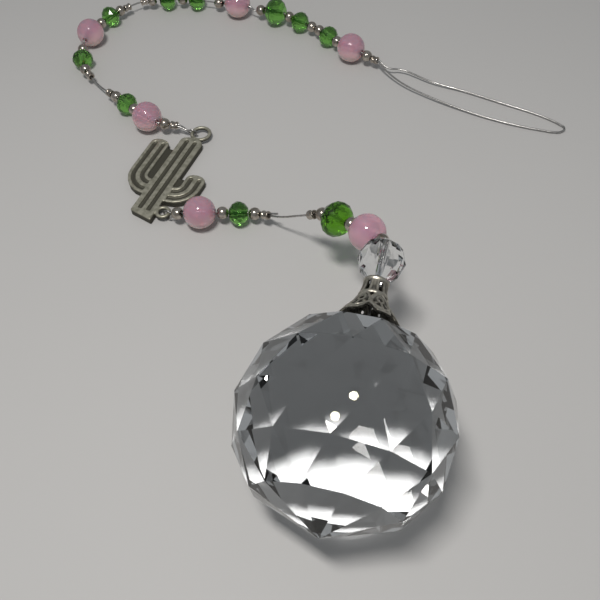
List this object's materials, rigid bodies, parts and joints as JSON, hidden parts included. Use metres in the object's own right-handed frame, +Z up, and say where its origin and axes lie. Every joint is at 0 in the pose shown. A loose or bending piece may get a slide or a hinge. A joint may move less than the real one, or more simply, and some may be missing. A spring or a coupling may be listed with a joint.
{
  "type": "beaded suncatcher",
  "caption": "Suncatcher laid flat: faceted crystal ball with pierced cap, beaded wire strand, cactus charm and a wire loop to hang it by.",
  "frame": {"origin": "On the table straight below the crystal ball's centre, in the facet that the ball rests on.", "axes": "+Z is up from the table. The hanging loop, the charm and the strands lie on the +Y side of the ball; +X is to the right seen from the ball's side."},
  "size_m": [0.1355, 0.1817, 0.0383],
  "materials": {
    "crystal": "clear cut crystal",
    "cap_silver": "antique silver plate",
    "clear_glass": "clear faceted glass",
    "pink_glass": "pink opal glass",
    "green_glass": "green faceted glass",
    "ball_silver": "polished plated metal",
    "crimp_silver": "crimped plated metal",
    "charm_silver": "antique silver casting",
    "steel_wire": "thin beading wire"
  },
  "bodies": {
    "root": {"crystal_ball": "crystal", "filigree_cap": "cap_silver", "clear_bead": "clear_glass", "cactus_charm": "charm_silver", "lower_wire": "steel_wire", "upper_wire": "steel_wire", "hanging_loop_wire": "steel_wire", "pink_bead_a": "pink_glass", "pink_bead_b": "pink_glass", "pink_bead_c": "pink_glass", "pink_bead_d": "pink_glass", "pink_bead_e": "pink_glass", "pink_bead_f": "pink_glass", "green_bead_a": "green_glass", "green_bead_b": "green_glass", "green_bead_c": "green_glass", "green_bead_d1": "green_glass", "green_bead_d2": "green_glass", "green_bead_e1": "green_glass", "green_bead_e2": "green_glass", "green_bead_e3": "green_glass", "green_bead_e4": "green_glass", "green_bead_e5": "green_glass", "silver_ball_a1": "ball_silver", "silver_ball_a2": "ball_silver", "silver_ball_a3": "ball_silver", "silver_ball_b1": "ball_silver", "silver_ball_b2": "ball_silver", "silver_ball_b3": "ball_silver", "silver_ball_c1": "ball_silver", "silver_ball_c2": "ball_silver", "silver_ball_c3": "ball_silver", "silver_ball_d1": "ball_silver", "silver_ball_d2": "ball_silver", "silver_ball_d3": "ball_silver", "silver_ball_d4": "ball_silver", "silver_ball_e1": "ball_silver", "silver_ball_e2": "ball_silver", "silver_ball_e3": "ball_silver", "silver_ball_e4": "ball_silver", "silver_ball_e5": "ball_silver", "silver_ball_e6": "ball_silver", "silver_ball_e7": "ball_silver", "silver_ball_e8": "ball_silver", "silver_ball_e9": "ball_silver", "crimp_a": "crimp_silver", "crimp_b": "crimp_silver", "crimp_c": "crimp_silver", "crimp_c2": "crimp_silver", "crimp_d": "crimp_silver", "crimp_d2": "crimp_silver", "crimp_e": "crimp_silver", "crimp_f": "crimp_silver"}
  },
  "joints": []
}
